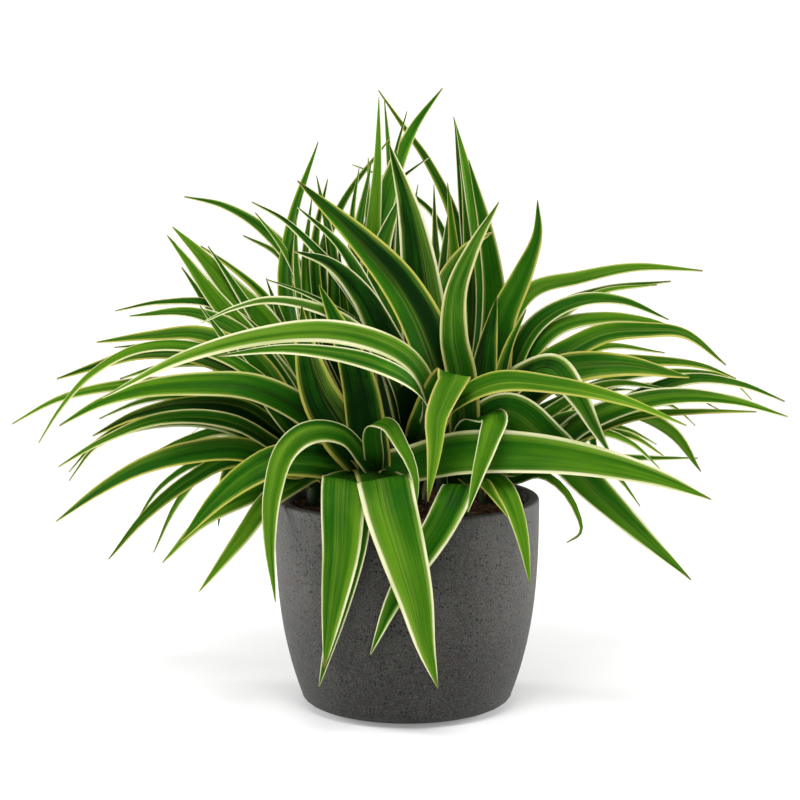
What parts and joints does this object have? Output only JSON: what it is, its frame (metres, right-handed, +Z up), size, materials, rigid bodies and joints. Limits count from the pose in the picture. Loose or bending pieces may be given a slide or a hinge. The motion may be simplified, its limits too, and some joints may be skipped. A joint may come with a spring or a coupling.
{
  "type": "potted spider plant",
  "caption": "Variegated spider plant with arching striped leaves, rooted in soil in a round grey fibre-clay pot that stands on its flat base.",
  "frame": {"origin": "centre of the pot's base, on the surface it stands on", "axes": "+Z up along the pot's axis, -Y towards the side that the picture shows, +X to the right of that view"},
  "size_m": [0.4491, 0.3011, 0.3541],
  "materials": {
    "fibre_clay": "matte",
    "coir_soil": "rough",
    "leaf": "satin"
  },
  "bodies": {
    "root": {"pot": "fibre_clay", "soil": "coir_soil", "crown_front_left": "leaf", "crown_front_right": "leaf", "crown_centre": "leaf", "crown_right": "leaf", "crown_left": "leaf", "crown_back_left": "leaf", "crown_back_right": "leaf"}
  },
  "joints": []
}
